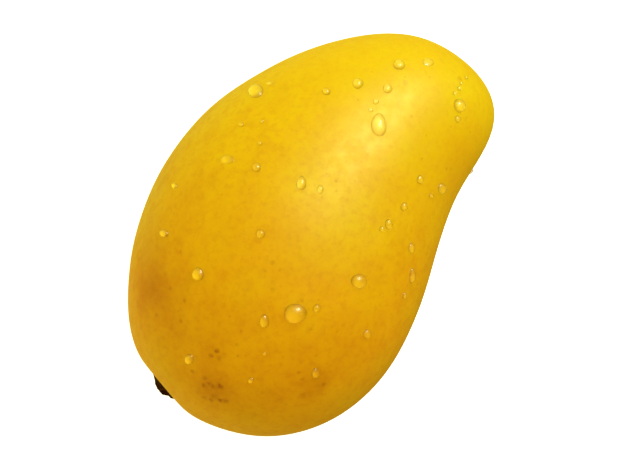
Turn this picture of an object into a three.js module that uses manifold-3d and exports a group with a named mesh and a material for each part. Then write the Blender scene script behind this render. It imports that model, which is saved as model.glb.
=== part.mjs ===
// A ripe mango lying on its flatter cheek, with the dark broken end of its stalk
// and with drops of water standing on its skin. Millimetres, +Z up.
//
// +X runs from the stalk to the beak, +Y towards the rounded back, and z = 0 is
// the small flat spot that the fruit rests on.

import * as THREE from 'three';
import { mergeVertices } from 'three/addons/utils/BufferGeometryUtils.js';
import Module from 'manifold-3d';

const wasm = await Module();
wasm.setup();

// The fruit seen from above. A closed soft curve is drawn towards these points:
// the stalk end first, over the back to the beak, and home along the belly.
const outlinePulls = [
  [-64, 2],
  [-45, 28.5],
  [-7.5, 44.5],
  [31, 36.5],
  [63, 13.5],
  [61, -21.5],
  [31.5, -21.5],
  [8, -35.5],
  [-22, -44.5],
  [-52, -32.5],
];
const beakPull = 5;

// The fruit is thinner than it is wide. Its thickness is a share of its width,
// which is least at the middle and grows a little towards the beak.
const thicknessShare = 0.82;
const endThicknessGain = 0.08;
const beakwardThicknessGain = 0.06;

// The line through the middle of the fruit sinks at both ends and leans down
// towards the beak, so that the weight stands over the resting spot.
const middleHeight = 33;
const stalkEndSink = 4;
const stalkEndReach = 0.22;
const beakEndSink = 2;
const beakEndReach = 0.3;
const beakwardLean = 0.04;

// The hollow that the stalk stands in, and the socket for the stalk's foot.
const hollowDepth = 3;
const hollowRadius = 6.6;
const socketRadius = 5.4;
const socketDepth = 1.2;
const fitGap = 0.3;

// The broken stalk: a low scar with a short stub on it. Heights are above the
// bottom of the hollow.
const scarEdgeHeight = 1.4;
const scarEdgeRound = 0.5;
const stubFootRadius = 3;
const stubFootHeight = 2.1;
const stubRadius = 2.5;
const stubShoulderHeight = 2.9;
const stubTopRadius = 1.7;
const stubHeight = 3.4;
const breakRadius = 0.9;
const breakDepth = 0.5;

// Drops of water on the upper side, from the beak back to the stalk:
// [x, y, width across, length along the way the water runs].
const upperDrops = [
  [52, 5.5, 3.2, 2.3],
  [49, -8, 3.4, 3.5],
  [46, 10.5, 3.2, 2.6],
  [39, 8.5, 2.4, 2.4],
  [35, 15, 2.7, 2.9],
  [30.5, 4, 3.8, 6.2],
  [30, -19, 2.6, 3],
  [28, 19.5, 2.1, 1.9],
  [27.5, -13, 1.8, 2.3],
  [20.5, 32, 2.2, 1.5],
  [19.5, -14.5, 1.8, 2.3],
  [16.5, 33.5, 4, 4],
  [13.5, -14.5, 1.9, 2.7],
  [13, -23, 1.7, 2.9],
  [8.5, 4, 1.6, 2.2],
  [8, -28, 1.8, 4],
  [6.5, 8.5, 2.4, 3.6],
  [2, 19.5, 2.1, 2.5],
  [-1.5, 26.5, 3.4, 2.6],
  [-2, -18.5, 4.1, 3.7],
  [-9.5, 7.5, 2.3, 2.3],
  [-10.5, -29, 2.2, 2.2],
  [-14, -15, 1.9, 2.1],
  [-18.5, -12, 5.5, 5.2],
  [-25, -7.5, 2.3, 3.6],
  [-26, 26, 2.3, 2],
  [-26.5, -26, 2.1, 2.6],
  [-27.5, 12.5, 3.1, 3.3],
  [-45.5, 0, 2.4, 2.7],
];
const dropHeightShare = 0.36;
const dropShoulderReach = 0.72;
const dropShoulderHeightShare = 0.65;
const dropRootDepth = 0.4;
const waterRunsTowards = new THREE.Vector3(-0.74, -0.67, 0);

// Drops on the under side, which no list gives: their number, their sizes, how
// far along the fruit they begin and end, and how far round from its edge, in
// radians. Steps of the golden section strew them evenly.
const underDropCount = 14;
const smallestUnderDrop = 1.7;
const largestUnderDrop = 3.4;
const underDropsFromShare = 0.14;
const underDropsToShare = 0.88;
const nearestToEdge = 0.2;
const farthestFromEdge = 0.8;
const goldenStep = 0.618034;

// How finely the solids are faceted.
const ringCount = 46;
const sidesPerRing = 40;
const sidesPerDrop = 8;
const sidesOfStalk = 24;

// Small steps: along the outline, in points, and for slopes, in shares of the
// fruit or radians. Corners nearer than mergeDistance are one, and a place in
// plan is found on the skin by halving that many times.
const outlineStep = 0.01;
const slopeStep = 0.002;
const mergeDistance = 1e-5;
const halvings = 40;

// A closed uniform cubic B-spline in the plane, at t counted in points.
function softCurve(pulls, t) {
  const whole = Math.floor(t);
  const part = t - whole;
  const weights = [
    (1 - part) ** 3,
    3 * part ** 3 - 6 * part ** 2 + 4,
    -3 * part ** 3 + 3 * part ** 2 + 3 * part + 1,
    part ** 3,
  ];
  const point = new THREE.Vector2();
  weights.forEach((weight, k) => {
    const index = (whole + k - 1 + pulls.length) % pulls.length;
    point.x += (pulls[index][0] * weight) / 6;
    point.y += (pulls[index][1] * weight) / 6;
  });
  return point;
}

// The chord from belly to back, for a share of the way from stalk to beak.
function chord(share) {
  const back = softCurve(outlinePulls, beakPull * share);
  const bellyPulls = outlinePulls.length - beakPull;
  const belly = softCurve(outlinePulls, outlinePulls.length - bellyPulls * share);
  const middle = back.clone().add(belly).multiplyScalar(0.5);
  const half = back.clone().sub(belly).multiplyScalar(0.5);
  return { middle, half };
}

// A point of the plain skin, before the stalk's hollow is pressed in.
function plainSkin(share, angle) {
  const { middle, half } = chord(share);
  const towardsEnds = (2 * share - 1) ** 2;
  const thickness =
    thicknessShare + endThicknessGain * towardsEnds + beakwardThicknessGain * (share - 0.5);
  const x = middle.x + half.x * Math.cos(angle);
  const y = middle.y + half.y * Math.cos(angle);
  const middleLine =
    middleHeight -
    stalkEndSink * Math.exp(-((share / stalkEndReach) ** 2)) -
    beakEndSink * Math.exp(-(((1 - share) / beakEndReach) ** 2)) -
    beakwardLean * x;
  return new THREE.Vector3(x, y, middleLine + half.length() * thickness * Math.sin(angle));
}

// The stalk's place and the way it points, square to the outline there.
const stalkPlace = plainSkin(0, 0);
const beforeStalk = softCurve(outlinePulls, outlinePulls.length - outlineStep);
const acrossStalk = softCurve(outlinePulls, outlineStep).sub(beforeStalk);
const stalkOutward = new THREE.Vector3(-acrossStalk.y, acrossStalk.x, 0).normalize();

function skin(share, angle) {
  const point = plainSkin(share, angle);
  const away = point.distanceTo(stalkPlace) / hollowRadius;
  return point.addScaledVector(stalkOutward, -hollowDepth * Math.exp(-(away ** 2)));
}

function skinNormal(share, angle) {
  const alongFruit = skin(share + slopeStep, angle).sub(skin(share - slopeStep, angle));
  const aroundFruit = skin(share, angle + slopeStep).sub(skin(share, angle - slopeStep));
  return aroundFruit.cross(alongFruit).normalize();
}

// A closed solid from rings of points, with a single point at either end.
function ringSolid(firstPoint, rings, lastPoint) {
  const sides = rings[0].length;
  const points = [firstPoint, ...rings.flat(), lastPoint];
  const faces = [];
  const at = (ring, side) => 1 + ring * sides + (side % sides);
  for (let side = 0; side < sides; side += 1) {
    faces.push(0, at(0, side + 1), at(0, side));
    for (let ring = 0; ring < rings.length - 1; ring += 1) {
      faces.push(at(ring, side), at(ring + 1, side + 1), at(ring + 1, side));
      faces.push(at(ring, side), at(ring, side + 1), at(ring + 1, side + 1));
    }
    faces.push(at(rings.length - 1, side), at(rings.length - 1, side + 1), points.length - 1);
  }
  const geometry = new THREE.BufferGeometry().setFromPoints(points);
  geometry.setIndex(faces);
  return toSolid(geometry);
}

function toSolid(geometry) {
  const bare = geometry.clone();
  bare.deleteAttribute('normal');
  bare.deleteAttribute('uv');
  const merged = mergeVertices(bare, mergeDistance);
  const mesh = new wasm.Mesh({
    numProp: 3,
    vertProperties: new Float32Array(merged.attributes.position.array),
    triVerts: new Uint32Array(merged.index.array),
  });
  return new wasm.Manifold(mesh);
}

function toGeometry(solid) {
  const mesh = solid.getMesh();
  const geometry = new THREE.BufferGeometry();
  geometry.setAttribute('position', new THREE.BufferAttribute(mesh.vertProperties, 3));
  geometry.setIndex(new THREE.BufferAttribute(mesh.triVerts, 1));
  geometry.computeVertexNormals();
  return geometry;
}

function ring(sides, pointAt) {
  return Array.from({ length: sides }, (_, side) => pointAt((side / sides) * 2 * Math.PI));
}

// The fruit's body, ring by ring from the stalk to the beak.
function fruitBody() {
  const rings = [];
  for (let step = 1; step < ringCount; step += 1) {
    rings.push(ring(sidesPerRing, (angle) => skin(step / ringCount, angle)));
  }
  return ringSolid(skin(0, 0), rings, skin(1, 0));
}

// Where on the upper skin a place in plan lies, as a share and an angle.
function upperSkinAt(x, y) {
  let low = 0;
  let high = 1;
  for (let step = 0; step < halvings; step += 1) {
    const share = (low + high) / 2;
    const { middle, half } = chord(share);
    const stalkward = (x - middle.x) * half.y - (y - middle.y) * half.x < 0;
    if (stalkward) {
      high = share;
    } else {
      low = share;
    }
  }
  const { middle, half } = chord(low);
  const across = ((x - middle.x) * half.x + (y - middle.y) * half.y) / half.lengthSq();
  return [low, Math.acos(THREE.MathUtils.clamp(across, -1, 1))];
}

// One drop: a low dome, drawn out the way the water runs, with its root sunk in.
function dropSolid(share, angle, width, length) {
  const centre = skin(share, angle);
  const up = skinNormal(share, angle);
  const along = waterRunsTowards.clone().projectOnPlane(up).normalize();
  const across = up.clone().cross(along);
  const height = dropHeightShare * width;
  const level = (size, rise) =>
    ring(sidesPerDrop, (turn) =>
      centre
        .clone()
        .addScaledVector(along, (Math.cos(turn) * size * length) / 2)
        .addScaledVector(across, (Math.sin(turn) * size * width) / 2)
        .addScaledVector(up, rise),
    );
  const top = centre.clone().addScaledVector(up, height);
  const root = centre.clone().addScaledVector(up, -2 * dropRootDepth);
  const foot = level(1, -dropRootDepth);
  const shoulder = level(dropShoulderReach, dropShoulderHeightShare * height);
  return ringSolid(root, [foot, shoulder], top);
}

// The drops of the under side hang below the edge, to the back and to the belly
// in turn.
function underDrop(index) {
  const { lerp } = THREE.MathUtils;
  const share = lerp(underDropsFromShare, underDropsToShare, (index + 0.5) / underDropCount);
  const belowEdge = lerp(nearestToEdge, farthestFromEdge, (index * goldenStep) % 1);
  const angle = index % 2 === 0 ? -belowEdge : Math.PI + belowEdge;
  const size = lerp(smallestUnderDrop, largestUnderDrop, (3 * index * goldenStep) % 1);
  return dropSolid(share, angle, size, size);
}

function allDrops() {
  const solids = upperDrops.map(([x, y, width, length]) => dropSolid(...upperSkinAt(x, y), width, length));
  for (let index = 0; index < underDropCount; index += 1) {
    solids.push(underDrop(index));
  }
  return solids;
}

// Turns a lathed shape, whose axis is +Y, onto the stalk's axis.
const ontoStalk = new THREE.Matrix4().compose(
  skin(0, 0),
  new THREE.Quaternion().setFromUnitVectors(new THREE.Vector3(0, 1, 0), stalkOutward),
  new THREE.Vector3(1, 1, 1),
);

function lathe(profile) {
  const points = profile.map(([radius, height]) => new THREE.Vector2(radius, height));
  return new THREE.LatheGeometry(points, sidesOfStalk);
}

function socketCutter() {
  const clearOfSkin = 6;
  return toSolid(
    lathe([
      [0, -socketDepth],
      [socketRadius, -socketDepth],
      [socketRadius, clearOfSkin],
      [0, clearOfSkin],
    ]).applyMatrix4(ontoStalk),
  );
}

function stalkGeometry() {
  const foot = fitGap - socketDepth;
  const scarRadius = socketRadius - fitGap;
  return lathe([
    [0, foot],
    [scarRadius, foot],
    [scarRadius, scarEdgeHeight - scarEdgeRound],
    [scarRadius - scarEdgeRound, scarEdgeHeight],
    [stubFootRadius, stubFootHeight],
    [stubRadius, stubShoulderHeight],
    [stubTopRadius, stubHeight],
    [breakRadius, stubHeight - breakDepth],
    [0, stubHeight - breakDepth],
  ]);
}

function fruitGeometry() {
  const floorSize = 200;
  const floor = new THREE.BoxGeometry(floorSize, floorSize, floorSize);
  floor.translate(0, 0, -floorSize / 2);
  let solid = fruitBody().subtract(socketCutter());
  for (const drop of allDrops()) {
    solid = solid.add(drop);
  }
  return toGeometry(solid.subtract(toSolid(floor)));
}

const group = new THREE.Group();

const fruit = new THREE.Mesh(
  fruitGeometry(),
  new THREE.MeshStandardMaterial({ color: '#e6ae0e', roughness: 0.42, metalness: 0 }),
);
fruit.name = 'fruit';
group.add(fruit);

const stalk = new THREE.Mesh(
  stalkGeometry().applyMatrix4(ontoStalk),
  new THREE.MeshStandardMaterial({ color: '#2a1409', roughness: 0.85, metalness: 0 }),
);
stalk.name = 'stalk';
group.add(stalk);

export default group;
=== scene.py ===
"""A ripe mango with drops of water on its skin, lying on a plain white ground and seen from above.

The fruit lies along X, from its stalk to its beak, with its rounded back towards +Y. Lengths that are
written in millimetres are multiplied by MM, because the scene is in metres.
"""
import math

import bpy
import numpy as np
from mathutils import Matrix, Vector, noise


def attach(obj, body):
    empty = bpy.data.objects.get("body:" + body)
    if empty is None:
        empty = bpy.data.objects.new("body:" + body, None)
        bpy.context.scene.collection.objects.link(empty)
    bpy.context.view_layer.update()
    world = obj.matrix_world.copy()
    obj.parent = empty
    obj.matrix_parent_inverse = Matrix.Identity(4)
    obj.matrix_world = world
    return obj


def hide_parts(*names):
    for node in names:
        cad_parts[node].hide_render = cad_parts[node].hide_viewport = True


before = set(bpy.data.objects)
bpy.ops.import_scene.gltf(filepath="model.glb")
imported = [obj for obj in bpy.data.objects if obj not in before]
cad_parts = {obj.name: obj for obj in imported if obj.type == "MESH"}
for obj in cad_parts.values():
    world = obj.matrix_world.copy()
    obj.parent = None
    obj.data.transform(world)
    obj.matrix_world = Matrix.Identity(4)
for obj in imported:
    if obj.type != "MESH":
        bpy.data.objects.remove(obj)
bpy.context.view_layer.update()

MM = 0.001

# The fruit's form, as in the solids. The outline from above is a closed soft curve drawn towards these
# points: the stalk end, over the back to the beak, and home along the belly.
OUTLINE_PULLS = MM * np.array((
    (-64, 2), (-45, 28.5), (-7.5, 44.5), (31, 36.5), (63, 13.5),
    (61, -21.5), (31.5, -21.5), (8, -35.5), (-22, -44.5), (-52, -32.5),
))
BEAK_PULL = 5
THICKNESS_SHARE = 0.82
END_THICKNESS_GAIN = 0.08
BEAKWARD_THICKNESS_GAIN = 0.06
MIDDLE_HEIGHT = 33 * MM
STALK_END_SINK = 4 * MM
STALK_END_REACH = 0.22
BEAK_END_SINK = 2 * MM
BEAK_END_REACH = 0.3
BEAKWARD_LEAN = 0.04
HOLLOW_DEPTH = 3 * MM
HOLLOW_RADIUS = 6.6 * MM

# The slight swells of a grown thing: waves through the fruit, their crests turned every way in turn.
SWELL_COUNT = 8
SWELL_HEIGHT = 0.045 * MM
SHORTEST_SWELL = 15 * MM
LONGEST_SWELL = 38 * MM
GOLDEN_STEP = 0.618034

# Drops on the upper side: (x, y, width across, length along the way the water runs), in millimetres.
UPPER_DROPS = (
    (52, 5.5, 3.2, 2.3), (49, -8, 3.4, 3.5), (46, 10.5, 3.2, 2.6), (39, 8.5, 2.4, 2.4),
    (35, 15, 2.7, 2.9), (30.5, 4, 3.8, 6.2), (30, -19, 2.6, 3), (28, 19.5, 2.1, 1.9),
    (27.5, -13, 1.8, 2.3), (20.5, 32, 2.2, 1.5), (19.5, -14.5, 1.8, 2.3), (16.5, 33.5, 4, 4),
    (13.5, -14.5, 1.9, 2.7), (13, -23, 1.7, 2.9),
    (8.5, 4, 1.6, 2.2), (8, -28, 1.8, 4), (6.5, 8.5, 2.4, 3.6), (2, 19.5, 2.1, 2.5),
    (-1.5, 26.5, 3.4, 2.6), (-2, -18.5, 4.1, 3.7), (-9.5, 7.5, 2.3, 2.3), (-10.5, -29, 2.2, 2.2),
    (-14, -15, 1.9, 2.1), (-18.5, -12, 5.5, 5.2), (-25, -7.5, 2.3, 3.6), (-26, 26, 2.3, 2),
    (-26.5, -26, 2.1, 2.6), (-27.5, 12.5, 3.1, 3.3), (-45.5, 0, 2.4, 2.7),
)
SMALL_DROPS = (
    (34.5, 8.5, 1.5, 1.5), (32, 8, 1.2, 1.2), (46, -10, 1.8, 1.8), (50.5, -5, 1.2, 1.2),
    (52.5, -5, 1.3, 1.3), (54, -4.5, 1, 1), (56.5, -4.5, 1, 1), (7.5, 30, 1.3, 1.3),
    (11.5, 26.5, 1, 1), (7, 23, 1.2, 1.2),
    (-15.5, 32.5, 1.5, 1.5), (-38.5, -15, 1.5, 1.5), (-31, -13, 1, 1), (26.5, -18, 1.3, 1.3),
    (11.5, -14, 1.4, 1.5), (3, -30, 1.3, 1.8),
)
WATER_RUNS_TOWARDS = np.array((-0.74, -0.67, 0))
# Drops on the under side, from stalk to beak on both sides in turn, at angles below the widest line.
UNDER_DROP_COUNT = 14
FIRST_UNDER_SHARE = 0.14
UNDER_SHARE_SPAN = 0.74
LEAST_ANGLE_BELOW = 0.2
ANGLE_BELOW_SPAN = 0.6
SMALLEST_UNDER_DROP = 1.7
LARGEST_UNDER_DROP = 3.4
# Small drops stand up steeply and large ones sag: the skin's angle to the water, and its loss per size.
STEEPEST_CONTACT = math.radians(88)
CONTACT_LOSS = math.radians(4.5) / MM
# A few have spread out flat and hardly show.
FLAT_DROPS = ((52, 5.5), (20.5, 32), (-1.5, 26.5))
FLAT_CONTACT = math.radians(35)
# The listed sizes are as seen from above, so a drop on a slope is longer on the skin. Slopes that
# foreshorten it to less than this share count as this one.
LEAST_FORESHORTENING = 0.62
# The longer a drop is for its width, the more it widens towards its front.
TAPER_PER_LENGTH = 0.5
MOST_TAPER = 0.1
# No drop is quite round: its outline swells on two sides and on three, turned differently for each drop.
TWO_SIDED_RIPPLE = 0.03
THREE_SIDED_RIPPLE = 0.02
RIPPLE_TURN = 2.3
DROP_RINGS = 10
DROP_SIDES = 32
# A drop is sunk into the skin a little, and its closed under side lies deeper.
DROP_SINK = 0.02 * MM
DROP_ROOT_DEPTH = 0.25 * MM
DROP_EDGE_DEPTH = 0.2 * MM
# A drop gathers the lamp's light on the skin under it, away from the lamp, and shades the skin beyond.
# Each of its points holds the share of the lamp's light that passes there. The lamp's height is the sine
# of its angle over the skin: all lower ones count as the least, and far behind the skin nothing is gathered.
LIGHT_BELOW = "light_below"
LEAST_LIGHT_BELOW = 0.92
MOST_LIGHT_BELOW = 1.12
SLANTING_LIGHT_GAIN = 3.5
SLANTING_FOCUS = 1.2
GATHERING_BEGINS = 0.15
LIGHT_SHIFT = 0.3
LEAST_LAMP_HEIGHT = 0.3
LAMP_BEHIND = -0.4
GATHERED_TINT = (1, 1.22, 1)
FULL_TINT_LIGHT = 1.6
EDGE_SHADE = 0.5
EDGE_SHADE_BEGINS = 0.85
CAST_SHADE = 0.5
# The steep edge of a drop is tinted dark with painted shade, but less so towards a slanting lamp.
PAINTED_DROP_SHADE = "painted_drop_shade"
PAINTED_DROP_SHADE_POWER = 5
PAINTED_DROP_SHADE_TINT = (0.45, 0.3, 0.06)
LAMPWARD_PAINTED_SHADE_LOSS = 0.8
LAMPWARD_REACH = 0.8

# The stalk's rings, from the scar in the hollow up over the stub: (radius, height, shift to the side),
# and the lower shoulders beside the stub: (place to the side, spread, rise), in millimetres.
STALK_PROFILE = MM * np.array((
    (5.0, 0.3, 0), (5.15, 0.8, 0), (5.05, 1.15, 0), (4.8, 1.4, 0), (4.4, 1.6, 0), (3.9, 1.78, 0.1),
    (3.4, 1.9, 0.2), (2.9, 2.0, 0.3), (2.45, 2.2, 0.4), (2.1, 2.5, 0.45), (1.8, 2.85, 0.5),
    (1.5, 3.15, 0.55), (1.25, 3.4, 0.6), (1.0, 3.5, 0.65), (0.7, 3.35, 0.65), (0.35, 3.1, 0.65),
))
STALK_SHOULDERS = MM * np.array(((-2.1, 1.4, 0.65), (3.9, 1.3, 0.7)))
STALK_SIDES = 96
STALK_FOOT_DEPTH = 0.3 * MM
STALK_TOP_HEIGHT = 2.9 * MM
STALK_TOP_SHIFT = 0.6 * MM
# The middle of the paler patch where it broke off.
BREAK_HEIGHT = 3.3 * MM
BREAK_SHIFT = 0.65 * MM
# Its unevenness: broad lumps and finer chips, as shares of the radius, and how fast they change.
LUMP_SHARE = 0.09
LUMP_RATE = 1.7
CHIP_SHARE = 0.03
CHIP_RATE = 5
CHIP_RING_RATE = 2.5
UNEVEN_LIFT = 0.1 * MM

# Brown spots and specks on the upper side: (x, y, radius, strength), in millimetres.
BROWN_SPOTS = (
    (-38.7, -3.8, 0.75, 1), (-40.7, -3.5, 0.7, 0.7), (-39.7, -5.3, 0.6, 0.6), (-47.4, -2.7, 0.7, 0.75),
    (-46.3, -6, 0.8, 0.6), (-48, -7.2, 0.9, 0.75), (-45.3, -10.4, 1, 0.95), (-46.6, -9.2, 0.9, 0.65),
    (-48.2, -12.7, 0.7, 1), (-47.3, -13.9, 0.9, 0.75), (-34, -6.4, 0.6, 0.4), (-36, -8.5, 0.5, 0.45),
    (-46.6, -7.9, 0.7, 0.6), (-49.8, -11.1, 0.8, 0.6),
    (-39.4, 8, 0.5, 0.6), (-35, 15.4, 0.6, 0.45), (-34.8, 10.7, 0.5, 0.5), (-42.7, 13.6, 0.6, 0.3),
    (-12.8, 0.5, 0.7, 0.5), (-15.6, 0.5, 0.45, 0.45), (34.6, -16.3, 0.5, 0.5), (35.4, -17.2, 0.45, 0.5),
    (-18.8, -17.4, 0.5, 0.6), (15.1, -27.2, 0.5, 0.6), (43.3, 6.3, 0.9, 0.4), (54.8, -3.4, 0.9, 0.4),
    (12.6, 2.5, 0.45, 0.5), (15.8, -1, 0.4, 0.45), (10.8, 0.8, 0.4, 0.35), (-17.8, -4, 0.8, 0.25),
    (-26.3, 19.6, 0.5, 0.35), (-11.1, 6.3, 0.5, 0.25), (-21.9, 0.6, 0.5, 0.25), (-15, -11.1, 0.5, 0.3),
    (-29, -22.5, 0.5, 0.6), (-29.9, -24.4, 0.55, 0.6), (-27.3, -29.5, 0.6, 0.5), (-32.9, -27.4, 1.2, 0.3),
    (-38.9, -19.2, 0.8, 0.3), (-23.1, -23, 0.5, 0.3), (-50.6, -9.4, 0.8, 0.55), (-48.5, -11.2, 1.2, 0.45),
)
# Wide soft patches: (x, y, radius, strength), in millimetres.
BROWN_PATCHES = (
    (-47, -9.5, 6.5, 0.8), (-28.2, -27.5, 6, 0.75), (-39.5, -4.5, 3.5, 0.3), (-38.5, -21, 5, 0.25),
    (-19, -30, 5, 0.25),
)
BLUSH_PATCHES = ((-38.5, 18.5, 9.5, 1), (-33, 24, 9, 0.5), (-42, 10, 8, 0.3), (-33.5, 16, 7, 0.5))
OLIVE_PATCHES = ((-52, 5, 9, 1), (2, -36, 9, 1), (-14, -39, 9, 1), (-27, -38, 8, 1), (-47, -20, 6, 0.7))
GOLD_PATCHES = (
    (4, -11, 17, 1), (-4, -24, 11, 0.7), (46, 11, 18, 0.55), (9, 3, 11, 0.9), (-22.5, 1, 7, 0.5),
    (-14, -16, 8, 0.6), (2, -32, 7, 0.5), (54, -4, 11, 0.8), (31, -6, 7, 0.5),
)
PALE_PATCHES = ((-35, -13, 9, 1), (-19, -8, 7, 0.5))
ORANGE_PATCHES = (
    (38.5, -20, 11, 1), (-41, 21, 12, 1), (-16, 27, 18, 0.4), (-44, -9, 12, 0.5), (-36, -24, 10, 0.4),
    (-10, 38, 9, 0.5),
)
# A patch fades out at this many of its radii.
PATCH_REACH = 1.4

# The skin's colour from the bottom to the top of the picture, and what it is multiplied by in each patch.
# The ramp is partly the fruit's own orange to yellow and partly painted shade, darker towards the bottom.
RAMP_REACH = 58 * MM
SKIN_TONE_AND_SHADE_RAMP = (
    (0.05, (0.945, 0.435, 0.0)),
    (0.2, (0.945, 0.418, 0.0)),
    (0.35, (0.935, 0.445, 0.0)),
    (0.5, (0.915, 0.497, 0.0)),
    (0.65, (0.905, 0.543, 0.0)),
    (0.8, (0.90, 0.57, 0.0)),
    (0.95, (0.905, 0.56, 0.0)),
)
PATCH_TINTS = (
    (PALE_PATCHES, (1.05, 1.08, 1)),
    (GOLD_PATCHES, (1, 1.14, 1)),
    (OLIVE_PATCHES, (0.97, 1.08, 1)),
    (ORANGE_PATCHES, (0.98, 0.85, 1)),
    (BLUSH_PATCHES, (0.82, 0.68, 1)),
    (BROWN_PATCHES, (0.82, 0.68, 1)),
)
MOTTLE_TINT = (0.95, 0.87, 1)
FRECKLE_TINT = (0.93, 0.84, 1)
CALM_AT_BEAK = 0.55
PALE_DOT_COLOUR = (0.95, 0.66, 0.04)
PALE_DOT_SHARE = 0.14
DARK_DOT_TINT = (0.89, 0.79, 1)
SPOT_TINT = (0.58, 0.34, 1)
SPOT_HARDNESS = 0.2
# Painted shade in the stalk's hollow: the skin darkens in a ring round the scar.
STALK_HOLLOW_SHADE_TINT = (0.5, 0.3, 1)
STALK_HOLLOW_SHADE_FADES = 4.9 * MM
STALK_HOLLOW_SHADE_ENDS = 6.2 * MM
FINE_RELIEF_SHARE = 0.4
DOT_RELIEF_SHARE = -0.3

STALK_RAMP = (
    (0.35, (0.014, 0.001, 0.001)),
    (0.55, (0.045, 0.009, 0.004)),
    (0.7, (0.16, 0.055, 0.025)),
)
BREAK_COLOUR = (0.16, 0.075, 0.03)

# The camera looks straight down, turned so that the fruit's length climbs to the upper right.
CAMERA_TURN = math.radians(48)
CAMERA_PLACE = Vector((-1.13 * MM, -2.05 * MM))
CAMERA_DISTANCE = 461 * MM
LENS = 100
SENSOR_WIDTH = 36
PICTURE_UP = (math.sin(CAMERA_TURN), math.cos(CAMERA_TURN), 0)
PICTURE_RIGHT = (math.cos(CAMERA_TURN), -math.sin(CAMERA_TURN), 0)

# Two soft boxes stand together on the beak's side: the key, and the sheen, which makes highlights only
# and is yellow, as they are in the photo.
KEY_AZIMUTH = math.radians(2)
KEY_HEIGHT_ANGLE = math.radians(42)
KEY_WAY = Vector((math.cos(KEY_HEIGHT_ANGLE) * math.cos(KEY_AZIMUTH),
                  math.cos(KEY_HEIGHT_ANGLE) * math.sin(KEY_AZIMUTH), math.sin(KEY_HEIGHT_ANGLE)))
KEY_DISTANCE = 1.0
SOFT_BOX_WIDTH = 0.35
SOFT_BOX_LENGTH = 0.6
KEY_WATTS = 5.4
SHEEN_WATTS = 9
SHEEN_COLOUR = (1.0, 1.0, 0.36)
# The surround lights the skin and is mirrored in it, each with a level of its own. The lighting one is
# brighter at the picture's left and from below, the mirrored one at the picture's upper left. Both are a
# strong yellow, as the photo's colours are strong, and a little paler from the ground.
SURROUND_LEVEL = 0.72
SURROUND_SLOPE = 0.015 * Vector(PICTURE_UP) - 0.12 * Vector(PICTURE_RIGHT) - 0.24 * Vector((0, 0, 1))
SHINE_LEVEL = 0.4
SHINE_SLOPE = 0.3 * Vector(PICTURE_UP) - 0.6 * Vector(PICTURE_RIGHT)
DIMMEST_SHINE = 0.03
SURROUND_COLOUR = (1.0, 0.98, 0.12)
GROUND_COLOUR = (1.0, 0.98, 0.18)
GROUND_ONLY = -0.7
GROUND_ENDS = -0.1
FLOOR_HALF = 3.0
FLOOR_DEPTH = 0.1 * MM

# Steps that slopes are taken over, and how often a range is halved to find a place on the skin.
CURVE_STEP = 0.01
NORMAL_STEP = 0.002
SLOPE_STEP = 0.001
HALVINGS = 40


def soft_curve(t):
    """A closed uniform cubic B-spline through the plane, at t counted in points."""
    whole = np.floor(t).astype(int)
    part = (t - whole)[..., None]
    weights = (
        (1 - part) ** 3,
        3 * part ** 3 - 6 * part ** 2 + 4,
        -3 * part ** 3 + 3 * part ** 2 + 3 * part + 1,
        part ** 3,
    )
    count = len(OUTLINE_PULLS)
    return sum(weight * OUTLINE_PULLS[(whole + k - 1) % count] for k, weight in enumerate(weights)) / 6


def chord(share):
    """The middle and the half of the chord from belly to back, from stalk (0) to beak (1)."""
    share = np.asarray(share, float)
    count = len(OUTLINE_PULLS)
    back = soft_curve(BEAK_PULL * share)
    belly = soft_curve(count - (count - BEAK_PULL) * share)
    return (back + belly) / 2, (back - belly) / 2


def plain_skin(share, angle):
    """The smooth skin: elliptical sections over the chords, at an angle up from the back."""
    share = np.asarray(share, float)
    angle = np.asarray(angle, float)
    middle, half = chord(share)
    thickness = (THICKNESS_SHARE + END_THICKNESS_GAIN * (2 * share - 1) ** 2
                 + BEAKWARD_THICKNESS_GAIN * (share - 0.5))
    plan = middle + half * np.cos(angle)[..., None]
    middle_line = (MIDDLE_HEIGHT
                   - STALK_END_SINK * np.exp(-(share / STALK_END_REACH) ** 2)
                   - BEAK_END_SINK * np.exp(-((1 - share) / BEAK_END_REACH) ** 2)
                   - BEAKWARD_LEAN * plan[..., 0])
    height = middle_line + np.linalg.norm(half, axis=-1) * thickness * np.sin(angle)
    return np.concatenate([plan, height[..., None]], axis=-1)


STALK_PLACE = plain_skin(0, 0)
ACROSS_STALK = soft_curve(np.array(CURVE_STEP)) - soft_curve(np.array(len(OUTLINE_PULLS) - CURVE_STEP))
STALK_OUTWARD = np.array((-ACROSS_STALK[1], ACROSS_STALK[0], 0)) / np.linalg.norm(ACROSS_STALK)


def golden(index, times=1):
    """Numbers from 0 to 1 that strew evenly as the index counts up."""
    return (index * GOLDEN_STEP * times) % 1


def smooth(value, start, end):
    """0 up to the start, 1 from the end, and a soft rise between them."""
    part = np.clip((value - start) / (end - start), 0, 1)
    return part * part * (3 - 2 * part)


def swells(points):
    """How far the skin stands out or in at each point."""
    rise = 0
    for k in range(SWELL_COUNT):
        slant = 1 - 2 * (k + 0.5) / SWELL_COUNT
        flat = math.sqrt(1 - slant ** 2)
        turn = 2 * math.pi * golden(k)
        way = np.array((flat * math.cos(turn), flat * math.sin(turn), slant))
        length = SHORTEST_SWELL + (LONGEST_SWELL - SHORTEST_SWELL) * golden(k, times=3)
        rise = rise + SWELL_HEIGHT * np.sin(2 * math.pi * (points @ way / length + golden(k, times=5)))
    return rise


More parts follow.
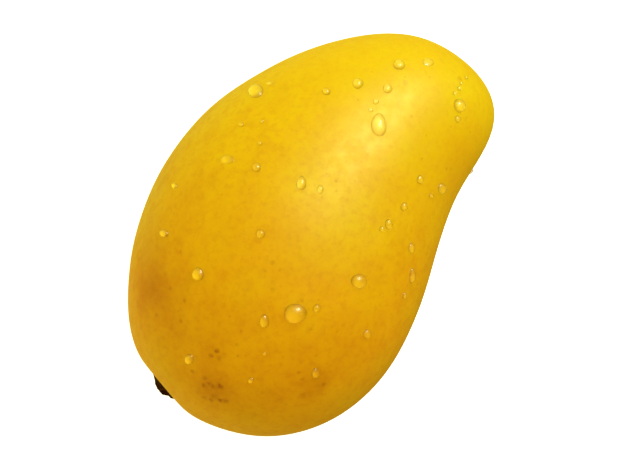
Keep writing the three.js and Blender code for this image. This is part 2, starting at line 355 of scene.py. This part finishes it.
def skin(share, angle):
    """The skin with the stalk's hollow in it, and with its slight swells."""
    points = plain_skin(share, angle)
    away = np.linalg.norm(points - STALK_PLACE, axis=-1) / HOLLOW_RADIUS
    hollow = HOLLOW_DEPTH * np.exp(-away ** 2)
    outward = points - (0, 0, MIDDLE_HEIGHT)
    outward = outward / np.linalg.norm(outward, axis=-1, keepdims=True)
    return points - STALK_OUTWARD * hollow[..., None] + outward * swells(points)[..., None]


def skin_slopes(share, angle, step):
    """How far the skin goes along the fruit per share, and around it per angle."""
    along = (skin(share + step, angle) - skin(share - step, angle)) / (2 * step)
    around = (skin(share, angle + step) - skin(share, angle - step)) / (2 * step)
    return along, around


def skin_normal(share, angle):
    along, around = skin_slopes(share, angle, NORMAL_STEP)
    normal = np.cross(around, along)
    return normal / np.linalg.norm(normal, axis=-1, keepdims=True)


def upper_skin_at(x, y):
    """The share and angle of the upper skin over a place in plan, by halving."""
    low, high = 0.0, 1.0
    for _ in range(HALVINGS):
        share = (low + high) / 2
        middle, half = chord(share)
        if (x - middle[0]) * half[1] - (y - middle[1]) * half[0] < 0:
            high = share
        else:
            low = share
    middle, half = chord(low)
    across = ((x - middle[0]) * half[0] + (y - middle[1]) * half[1]) / (half @ half)
    return low, math.acos(max(-1.0, min(1.0, across)))


def mesh_piece(name, points, faces, material):
    mesh = bpy.data.meshes.new(name)
    mesh.from_pydata([tuple(point) for point in points], [], faces)
    mesh.validate()
    mesh.shade_smooth()
    mesh.materials.append(material)
    piece = bpy.data.objects.new(name, mesh)
    bpy.context.collection.objects.link(piece)
    return piece


def ring_faces(ring_count, sides):
    """Faces of a closed form: a point, rings of points, and a last point, facing out."""
    at = lambda ring, side: 1 + ring * sides + side % sides
    last = 1 + ring_count * sides
    faces = []
    for side in range(sides):
        faces.append((0, at(0, side + 1), at(0, side)))
        faces.append((at(ring_count - 1, side), at(ring_count - 1, side + 1), last))
    for ring in range(ring_count - 1):
        for side in range(sides):
            faces.append((at(ring, side), at(ring, side + 1), at(ring + 1, side + 1), at(ring + 1, side)))
    return faces


class Shader:
    """Lays out the nodes of one material, or of the world."""

    def __init__(self, owner, output="ShaderNodeOutputMaterial", coordinates="Object"):
        self.owner = owner
        self.owner.use_nodes = True
        self.tree = self.owner.node_tree
        self.tree.nodes.clear()
        self.output = self.add(output)
        self.place = self.add("ShaderNodeTexCoord").outputs[coordinates]

    def add(self, kind, inputs=None, **settings):
        node = self.tree.nodes.new(kind)
        for key, value in settings.items():
            setattr(node, key, value)
        for key, value in (inputs or {}).items():
            self.feed(node.inputs[key], value)
        return node

    def feed(self, socket, value):
        if isinstance(value, bpy.types.NodeSocket):
            self.tree.links.new(value, socket)
        else:
            socket.default_value = value

    def math(self, operation, first, second):
        return self.add("ShaderNodeMath", {0: first, 1: second}, operation=operation).outputs[0]

    def distance(self, point, place=None):
        inputs = {0: place or self.place, 1: tuple(point)}
        return self.add("ShaderNodeVectorMath", inputs, operation="DISTANCE").outputs["Value"]

    def along(self, direction):
        inputs = {0: self.place, 1: tuple(direction)}
        return self.add("ShaderNodeVectorMath", inputs, operation="DOT_PRODUCT").outputs["Value"]

    def fade(self, value, start, end, low=0.0, high=1.0):
        inputs = {"Value": value, "From Min": start, "From Max": end, "To Min": low, "To Max": high}
        return self.add("ShaderNodeMapRange", inputs, interpolation_type="SMOOTHSTEP").outputs[0]

    def noise(self, size, detail, roughness=0.5):
        inputs = {"Vector": self.place, "Scale": 1 / size, "Detail": detail, "Roughness": roughness}
        return self.add("ShaderNodeTexNoise", inputs).outputs["Fac"]

    def dots(self, spacing, radius, softness):
        """Small round dots of uneven size, one to a cell of an uneven division: 1 inside, 0 outside."""
        cells = self.add("ShaderNodeTexVoronoi", {"Vector": self.place, "Scale": 1 / spacing})
        size = self.math("MULTIPLY", cells.outputs["Color"], radius / spacing)
        edge = self.math("SUBTRACT", cells.outputs["Distance"], size)
        return self.fade(edge, 0, softness / spacing, 1, 0)

    def patch(self, x, y, radius, strength, place, hardness):
        """A round patch on the upper skin, strong at its middle."""
        middle = skin(*upper_skin_at(x * MM, y * MM))
        away = self.distance(middle, place)
        return self.fade(away, hardness * radius * MM, radius * PATCH_REACH * MM, strength, 0)

    def patches(self, listed, place, hardness=0.0):
        """All listed patches, the strongest one where they overlap."""
        whole = 0.0
        for x, y, radius, strength in listed:
            whole = self.math("MAXIMUM", self.patch(x, y, radius, strength, place, hardness), whole)
        return whole

    def stirred(self, size, reach):
        """Places moved about a little, so that patches don't come out round."""
        stir = self.add("ShaderNodeTexNoise", {"Vector": self.place, "Scale": 1 / size, "Detail": 3})
        centred = self.add("ShaderNodeVectorMath", {0: stir.outputs["Color"], 1: (0.5, 0.5, 0.5)},
                           operation="SUBTRACT").outputs[0]
        return self.add("ShaderNodeVectorMath", {0: centred, 1: (2 * reach,) * 3, 2: self.place},
                        operation="MULTIPLY_ADD").outputs[0]

    def ramp(self, value, stops):
        node = self.add("ShaderNodeValToRGB", {"Fac": value})
        elements = node.color_ramp.elements
        while len(elements) < len(stops):
            elements.new(0.5)
        for element, (position, colour) in zip(elements, stops):
            element.position = position
            element.color = (*colour, 1)
        return node.outputs["Color"]

    def mix(self, amount, first, second, blend="MIX"):
        node = self.add("ShaderNodeMix", data_type="RGBA", blend_type=blend)
        sockets = (node.inputs[0], node.inputs[6], node.inputs[7])
        for socket, value in zip(sockets, (amount, first, second)):
            if isinstance(value, tuple) and len(value) == 3:
                value = (*value, 1)
            self.feed(socket, value)
        return node.outputs[2]

    def finish(self, surface):
        self.tree.links.new(surface, self.output.inputs["Surface"])
        return self.owner


def skin_colour(shader, dark_dots):
    """The ramp from the stalk's orange to the beak's yellow, partly painted shade, with all that tints it.
    """
    drift = shader.fade(shader.noise(22 * MM, detail=3), 0.25, 0.75, low=-5 * MM, high=5 * MM)
    level = shader.add("ShaderNodeMapRange", {
        "Value": shader.math("ADD", shader.along(PICTURE_UP), drift),
        "From Min": -RAMP_REACH,
        "From Max": RAMP_REACH,
    }).outputs[0]
    # Partly painted shade: darker and more orange towards the bottom of the picture.
    colour = shader.ramp(level, SKIN_TONE_AND_SHADE_RAMP)
    calm = shader.fade(shader.along((1, 0, 0)), 5 * MM, 40 * MM, low=1, high=CALM_AT_BEAK)
    mottle = shader.fade(shader.noise(6 * MM, detail=4, roughness=0.65), 0.35, 0.7)
    freckle = shader.fade(shader.noise(1.6 * MM, detail=4, roughness=0.65), 0.42, 0.72)
    for amount, tint in ((mottle, MOTTLE_TINT), (freckle, FRECKLE_TINT)):
        colour = shader.mix(shader.math("MULTIPLY", amount, calm), colour, tint, "MULTIPLY")
    wide = shader.stirred(9 * MM, reach=4 * MM)
    for listed, tint in PATCH_TINTS:
        colour = shader.mix(shader.patches(listed, wide), colour, tint, "MULTIPLY")
    pale_dots = shader.dots(3.1 * MM, radius=0.25 * MM, softness=0.25 * MM)
    colour = shader.mix(shader.math("MULTIPLY", pale_dots, PALE_DOT_SHARE), colour, PALE_DOT_COLOUR)
    colour = shader.mix(dark_dots, colour, DARK_DOT_TINT, "MULTIPLY")
    near = shader.stirred(0.8 * MM, reach=0.5 * MM)
    worn = shader.fade(shader.noise(0.7 * MM, detail=3, roughness=0.7), 0.3, 0.6, low=0.35, high=1)
    spots = shader.math("MULTIPLY", shader.patches(BROWN_SPOTS, near, SPOT_HARDNESS), worn)
    colour = shader.mix(spots, colour, SPOT_TINT, "MULTIPLY")
    # Painted shade: a dark ring on the skin round the stalk's scar, in its hollow.
    from_stalk = shader.distance(skin(0, 0), near)
    stalk_hollow_shade = shader.fade(from_stalk, STALK_HOLLOW_SHADE_FADES, STALK_HOLLOW_SHADE_ENDS, low=0.8, high=0)
    return shader.mix(stalk_hollow_shade, colour, STALK_HOLLOW_SHADE_TINT, "MULTIPLY")


def skin_material():
    shader = Shader(bpy.data.materials.new("mango_skin"))
    dark_dots = shader.dots(4.3 * MM, radius=0.22 * MM, softness=0.3 * MM)
    fine = shader.math("MULTIPLY", shader.noise(0.9 * MM, detail=3), FINE_RELIEF_SHARE)
    relief = shader.math("ADD", fine, shader.noise(4 * MM, detail=2))
    relief = shader.math("ADD", relief, shader.math("MULTIPLY", dark_dots, DOT_RELIEF_SHARE))
    bump = shader.add("ShaderNodeBump", {"Strength": 0.5, "Distance": 0.12 * MM, "Height": relief})
    principled = shader.add("ShaderNodeBsdfPrincipled", {
        "Base Color": skin_colour(shader, dark_dots),
        "Roughness": shader.fade(shader.noise(3 * MM, detail=3), 0.3, 0.7, low=0.42, high=0.52),
        "Normal": bump.outputs[0],
        "IOR": 1.5,
        "Subsurface Weight": 0.15,
        "Subsurface Radius": (1.0, 0.5, 0.08),
        "Subsurface Scale": 0.003,
        "Specular Tint": (1.0, 0.92, 0.55, 1),
    }, subsurface_method="RANDOM_WALK")
    return shader.finish(principled.outputs[0])


def stalk_material():
    shader = Shader(bpy.data.materials.new("dry_stalk"))
    dark = shader.ramp(shader.noise(0.9 * MM, detail=5, roughness=0.65), STALK_RAMP)
    outward, side, _ = stalk_frame()
    break_middle = skin(0, 0) + BREAK_HEIGHT * outward + BREAK_SHIFT * side
    broken = shader.fade(shader.distance(break_middle), 0.4 * MM, 1.3 * MM, low=0.9, high=0)
    relief = shader.noise(0.35 * MM, detail=4, roughness=0.7)
    bump = shader.add("ShaderNodeBump", {"Strength": 0.8, "Distance": 0.2 * MM, "Height": relief})
    principled = shader.add("ShaderNodeBsdfPrincipled", {
        "Base Color": shader.mix(broken, dark, BREAK_COLOUR),
        "Roughness": 0.7,
        "Specular IOR Level": 0.02,
        "Normal": bump.outputs[0],
    })
    return shader.finish(principled.outputs[0])


def water_material():
    """Clear water, its edge tinted with painted shade. Lamp rays pass straight through it, by the share that
    each point holds.
    """
    shader = Shader(bpy.data.materials.new("clear_water"))
    # Painted shade: the water's colour turns dark towards the drop's steep edge.
    edge = shader.add("ShaderNodeAttribute", attribute_name=PAINTED_DROP_SHADE).outputs["Fac"]
    principled = shader.add("ShaderNodeBsdfPrincipled", {
        "Base Color": shader.mix(edge, (1.0, 1.0, 1.0), PAINTED_DROP_SHADE_TINT),
        "Roughness": 0.0,
        "IOR": 1.333,
        "Transmission Weight": 1.0,
        "Coat Weight": 1.0,
        "Coat Roughness": 0.4,
        "Coat IOR": 1.5,
    })
    gathered = shader.add("ShaderNodeAttribute", attribute_name=LIGHT_BELOW).outputs["Fac"]
    from_inside = shader.add("ShaderNodeNewGeometry").outputs["Backfacing"]
    yellow = shader.mix(shader.fade(gathered, 1, FULL_TINT_LIGHT), gathered, GATHERED_TINT, "MULTIPLY")
    light = shader.mix(from_inside, (CAST_SHADE,) * 3, yellow)
    clear = shader.add("ShaderNodeBsdfTransparent", {"Color": light})
    path = shader.add("ShaderNodeLightPath")
    lamp_rays = shader.math("MAXIMUM", path.outputs["Is Shadow Ray"], path.outputs["Is Diffuse Ray"])
    both = shader.add("ShaderNodeMixShader", {0: lamp_rays, 1: principled.outputs[0], 2: clear.outputs[0]})
    return shader.finish(both.outputs[0])


def make_fruit():
    """The fruit, cut off level with the ground, which makes the small flat spot that it rests on."""
    ring_count, sides = 300, 256
    share = np.arange(1, ring_count + 1) / (ring_count + 1)
    angle = np.arange(sides) / sides * 2 * math.pi
    shares, angles = np.meshgrid(share, angle, indexing="ij")
    points = np.concatenate([[skin(0, 0)], skin(shares, angles).reshape(-1, 3), [skin(1, 0)]])
    points[:, 2] = np.maximum(points[:, 2], 0)
    piece = mesh_piece("mango_fruit", points, ring_faces(ring_count, sides), skin_material())
    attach(piece, "root")
    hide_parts("fruit")


def stalk_frame():
    """Unit vectors: outward along the stalk, and two across it."""
    side = np.cross((0, 0, 1), STALK_OUTWARD)
    return STALK_OUTWARD, side, np.cross(STALK_OUTWARD, side)


def make_stalk():
    """The scar in the hollow and the stub on it, off its middle, with a lower shoulder on each side."""
    outward, side, rise = stalk_frame()
    centre = skin(0, 0)
    points = [centre - outward * STALK_FOOT_DEPTH]
    for radius, height, shift in STALK_PROFILE:
        for k in range(STALK_SIDES):
            turn = 2 * math.pi * k / STALK_SIDES
            way = Vector((math.cos(turn), math.sin(turn), 0))
            lumps = noise.noise(way * LUMP_RATE + Vector((0, 0, height / MM)))
            chips = noise.noise(way * CHIP_RATE + Vector((0, 0, CHIP_RING_RATE * radius / MM)))
            reach = radius * (1 + LUMP_SHARE * lumps + CHIP_SHARE * chips)
            across = shift + reach * math.cos(turn)
            along = reach * math.sin(turn)
            lift = height + UNEVEN_LIFT * (lumps + chips)
            for place, spread, shoulder_rise in STALK_SHOULDERS:
                lift += shoulder_rise * math.exp(-(math.hypot(across - place, along) / spread) ** 2)
            points.append(centre + outward * lift + side * across + rise * along)
    points.append(centre + outward * STALK_TOP_HEIGHT + side * STALK_TOP_SHIFT)
    faces = ring_faces(len(STALK_PROFILE), STALK_SIDES)
    piece = mesh_piece("broken_stalk", points, faces, stalk_material())
    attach(piece, "root")
    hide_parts("stalk")


def laid(first, first_way, second, second_way):
    """Vectors from their parts along two ways."""
    return np.multiply.outer(first, first_way) + np.multiply.outer(second, second_way)


def drop_light(offset, rise, levels, up, size, contact, in_radii):
    """For each point of a drop's surface, the light that passes there and the painted shade of its edge."""
    key_way = np.array(KEY_WAY)
    lamp_height = key_way @ up
    lamp_up = max(lamp_height, LEAST_LAMP_HEIGHT)
    lamp_along = key_way - up * lamp_height
    foot_forward, foot_across = in_radii(offset - np.multiply.outer(rise, LIGHT_SHIFT * lamp_along))
    lamp_forward, lamp_across = in_radii(lamp_along * size / 2)
    away = np.hypot(foot_forward, foot_across)
    towards_lamp = foot_forward * lamp_forward + foot_across * lamp_across
    focus = (1 - away ** 2) * lamp_up - SLANTING_FOCUS * towards_lamp
    most = MOST_LIGHT_BELOW + SLANTING_LIGHT_GAIN * (1 - lamp_up) ** 2
    light = LEAST_LIGHT_BELOW + (most - LEAST_LIGHT_BELOW) * smooth(focus, GATHERING_BEGINS, 1)
    light = light * (1 - EDGE_SHADE * smooth(away, EDGE_SHADE_BEGINS, 1))
    strength = math.sin(contact)
    light = 1 + (light - 1) * strength * smooth(lamp_height, LAMP_BEHIND, 0)
    # Painted shade for the steep edge, weaker on the side towards a slanting lamp.
    lampward = smooth(towards_lamp, 0, LAMPWARD_REACH) * (1 - lamp_up)
    edge = strength * levels ** PAINTED_DROP_SHADE_POWER * (1 - LAMPWARD_PAINTED_SHADE_LOSS * lampward)
    return light, edge


def drop_form(share, angle, width, length, contact, index):
    """One drop: a cap that meets the skin at its contact angle, fuller where the water runs towards.

    Gives its points and faces, and for each point the light that passes there and the painted shade of its
    edge.
    """
    up = skin_normal(share, angle)
    fall = up * (1, 1, 0) / np.linalg.norm(up[:2])
    level_way = np.cross((0, 0, 1), fall)
    downhill = np.cross(level_way, up)
    stretch = 1 / max(abs(up[2]), LEAST_FORESHORTENING)
    run = WATER_RUNS_TOWARDS / np.linalg.norm(WATER_RUNS_TOWARDS)
    across = np.cross((0, 0, 1), run)

    def in_radii(way):
        """A way along the skin as parts along the water's run and across it, in the drop's radii."""
        plan = laid(way @ downhill / stretch, fall, way @ level_way, level_way)
        return plan @ run / (length / 2), plan @ across / (width / 2)

    level = np.linspace(1, 1 / DROP_RINGS, DROP_RINGS)
    turn = np.arange(DROP_SIDES) / DROP_SIDES * 2 * math.pi
    levels, turns = np.meshgrid(level, turn, indexing="ij")
    ripple = (1 + TWO_SIDED_RIPPLE * np.sin(2 * turns + index)
              + THREE_SIDED_RIPPLE * np.sin(3 * turns + RIPPLE_TURN * index))
    taper = max(0, min(MOST_TAPER, TAPER_PER_LENGTH * (length / width - 1)))
    forward = levels * length / 2 * np.cos(turns) * ripple
    sideways = levels * width / 2 * np.sin(turns) * ripple * (1 + taper * np.cos(turns))
    plan = laid(forward, run, sideways, across)
    offset = laid(plan @ fall * stretch, downhill, plan @ level_way, level_way)
    slopes = np.stack(skin_slopes(share, angle, SLOPE_STEP), axis=1)
    moved = offset @ np.linalg.pinv(slopes).T
    shares, angles = share + moved[..., 0], angle + moved[..., 1]

    size = min(width, length)
    ball = 1 / math.sin(contact)
    cut_off = math.sqrt(ball ** 2 - 1)
    rise = (np.sqrt(ball ** 2 - levels ** 2) - cut_off) * size / 2
    surface = skin(shares, angles) + skin_normal(shares, angles) * (rise - DROP_SINK)[..., None]
    middle = skin(share, angle)
    top = middle + up * ((ball - cut_off) * size / 2 - DROP_SINK)
    root = middle - up * DROP_ROOT_DEPTH
    sunk_edge = surface[0] - up * DROP_EDGE_DEPTH
    points = np.concatenate([[root], sunk_edge, surface.reshape(-1, 3), [top]])
    light, edge = drop_light(offset, rise, levels, up, size, contact, in_radii)
    light = np.concatenate([[1], light[0], light.reshape(-1), [light[-1].mean()]])
    edge = np.concatenate([[1], edge[0], edge.reshape(-1), [0]])
    return points, ring_faces(DROP_RINGS + 1, DROP_SIDES), light, edge


def under_drops():
    for index in range(UNDER_DROP_COUNT):
        share = FIRST_UNDER_SHARE + UNDER_SHARE_SPAN * (index + 0.5) / UNDER_DROP_COUNT
        below = LEAST_ANGLE_BELOW + ANGLE_BELOW_SPAN * golden(index)
        angle = -below if index % 2 == 0 else math.pi + below
        size = SMALLEST_UNDER_DROP + (LARGEST_UNDER_DROP - SMALLEST_UNDER_DROP) * golden(index, times=3)
        yield share, angle, size, size, STEEPEST_CONTACT


def upper_drops():
    for x, y, width, length in UPPER_DROPS + SMALL_DROPS:
        contact = STEEPEST_CONTACT - CONTACT_LOSS * min(width, length) * MM
        if (x, y) in FLAT_DROPS:
            contact = FLAT_CONTACT
        yield *upper_skin_at(x * MM, y * MM), width, length, contact


def make_drops():
    """All drops as one piece: those that the solids have fused to the fruit, and the small ones."""
    points, faces, lights, painted_edge_shades = [], [], [], []
    drops = [*upper_drops(), *under_drops()]
    for index, (share, angle, width, length, contact) in enumerate(drops):
        form = drop_form(share, angle, width * MM, length * MM, contact, index)
        own_points, own_faces, light, edge = form
        faces += [[len(points) + corner for corner in face] for face in own_faces]
        points += list(own_points)
        lights += list(light)
        painted_edge_shades += list(edge)
    piece = mesh_piece("water_drops", points, faces, water_material())
    # The light that passes each point, and the painted shade of the drop's edge there.
    for name, values in ((LIGHT_BELOW, lights), (PAINTED_DROP_SHADE, painted_edge_shades)):
        piece.data.attributes.new(name, "FLOAT", "POINT").data.foreach_set("value", values)
    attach(piece, "root")
    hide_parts("fruit")


def make_floor():
    """The ground. It glows pure white as in the photo, and adds nothing to the light on the fruit."""
    shader = Shader(bpy.data.materials.new("white_ground"))
    principled = shader.add("ShaderNodeBsdfPrincipled", {
        "Base Color": (0.9, 0.9, 0.9, 1),
        "Roughness": 0.9,
        "Emission Color": (1, 1, 1, 1),
        "Emission Strength": 1.0,
    })
    corners = [(FLOOR_HALF * x, FLOOR_HALF * y, 0) for x, y in ((-1, -1), (1, -1), (1, 1), (-1, 1))]
    floor = mesh_piece("ground", corners, [(0, 1, 2, 3)], shader.finish(principled.outputs[0]))
    floor.location.z = -FLOOR_DEPTH
    floor.visible_diffuse = False
    floor.visible_glossy = False
    floor.visible_shadow = False


def make_soft_box(name, watts):
    """A soft box that faces the fruit from the key's direction."""
    lamp = bpy.data.lights.new(name, "AREA")
    lamp.shape = "RECTANGLE"
    lamp.size = SOFT_BOX_WIDTH
    lamp.size_y = SOFT_BOX_LENGTH
    lamp.energy = watts
    light = bpy.data.objects.new(name, lamp)
    light.location = Vector((0, 0, MIDDLE_HEIGHT)) + KEY_DISTANCE * KEY_WAY
    light.rotation_euler = (-KEY_WAY).to_track_quat("-Z", "Y").to_euler()
    light.visible_camera = False
    bpy.context.collection.objects.link(light)
    return light


def make_lights():
    make_soft_box("key", KEY_WATTS)
    sheen = make_soft_box("sheen", SHEEN_WATTS)
    sheen.data.color = SHEEN_COLOUR
    sheen.visible_diffuse = False
    sheen.visible_transmission = False


def make_surround():
    """The yellow surround that lights the fruit. It is plain white where the camera sees it."""
    shader = Shader(bpy.data.worlds.new("studio"), "ShaderNodeOutputWorld", "Generated")
    light = shader.math("ADD", shader.along(SURROUND_SLOPE), SURROUND_LEVEL)
    shine = shader.math("ADD", shader.along(SHINE_SLOPE), SHINE_LEVEL)
    shine = shader.math("MAXIMUM", shine, DIMMEST_SHINE)
    path = shader.add("ShaderNodeLightPath")
    level = shader.mix(path.outputs["Is Glossy Ray"], light, shine)
    from_ground = shader.fade(shader.along((0, 0, 1)), GROUND_ONLY, GROUND_ENDS, low=1, high=0)
    colour = shader.mix(from_ground, SURROUND_COLOUR, GROUND_COLOUR)
    colour = shader.mix(1.0, level, colour, "MULTIPLY")
    colour = shader.mix(path.outputs["Is Camera Ray"], colour, (1.0, 1.0, 1.0))
    background = shader.add("ShaderNodeBackground", {"Color": colour})
    bpy.context.scene.world = shader.finish(background.outputs[0])


def make_camera():
    lens = bpy.data.cameras.new("camera")
    lens.lens = LENS
    lens.sensor_width = SENSOR_WIDTH
    camera = bpy.data.objects.new("camera", lens)
    camera.location = (*CAMERA_PLACE, MIDDLE_HEIGHT + CAMERA_DISTANCE)
    camera.rotation_euler = (0, 0, -CAMERA_TURN)
    bpy.context.collection.objects.link(camera)
    bpy.context.scene.camera = camera


make_camera()
make_lights()
make_surround()
make_floor()
make_fruit()
make_stalk()
make_drops()
bpy.context.scene.view_settings.view_transform = "Standard"
